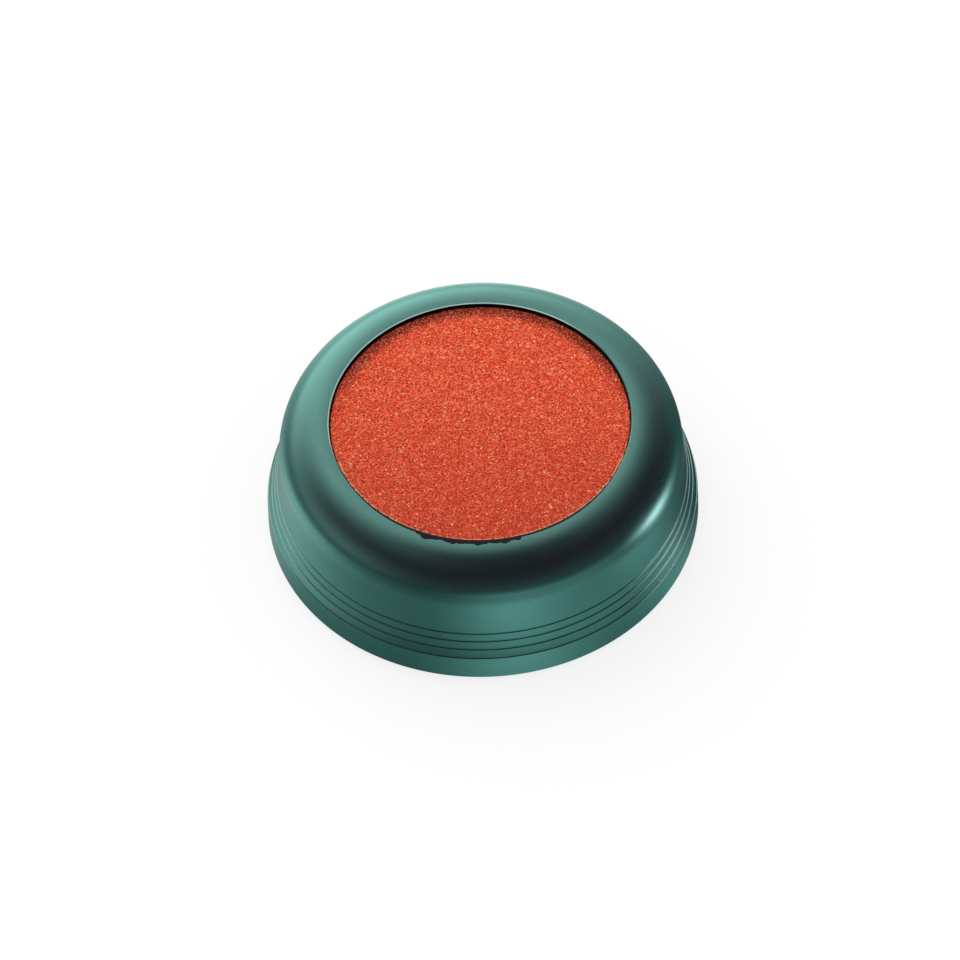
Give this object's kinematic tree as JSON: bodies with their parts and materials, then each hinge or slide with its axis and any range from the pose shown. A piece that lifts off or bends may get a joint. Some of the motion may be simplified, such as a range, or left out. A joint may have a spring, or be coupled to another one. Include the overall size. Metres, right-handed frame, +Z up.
{
  "type": "finger moistener",
  "caption": "Round bell-shaped desk finger moistener: a weighted holder with a grooved foot, a water cup, and a foam sponge disc that presses in and lifts out on its tray.",
  "frame": {"origin": "centre of the footprint, on the surface that the sole ring rests on", "axes": "+Z up along the axis of the bell; X and Y lie in the resting surface, with one base screw on +Y"},
  "size_m": [0.1, 0.1, 0.0334],
  "materials": {
    "green_lacquer": "satin",
    "black_rubber": "matte",
    "dark_plastic": "satin",
    "ballast_steel": "matte",
    "screw_steel": "satin",
    "tray_plastic": "satin",
    "orange_foam": "matte"
  },
  "bodies": {
    "holder": {"shell": "green_lacquer", "cup_seal": "black_rubber", "water_cup": "dark_plastic", "ballast_ring": "ballast_steel", "base_plate": "dark_plastic", "base_screws": "screw_steel", "sole_ring": "black_rubber"},
    "tray": {"sponge_tray": "tray_plastic"},
    "sponge": {"sponge": "orange_foam"}
  },
  "joints": [
    {"name": "tray_lift", "type": "slide", "parent": "holder", "child": "tray", "axis": [0, 0, 1], "range_m": [0, 0.032]},
    {"name": "sponge_press", "type": "slide", "parent": "tray", "child": "sponge", "axis": [0, 0, 1], "range_m": [-0.003, 0], "stiffness_N_per_m": 1500, "deforming": ["sponge"]}
  ]
}
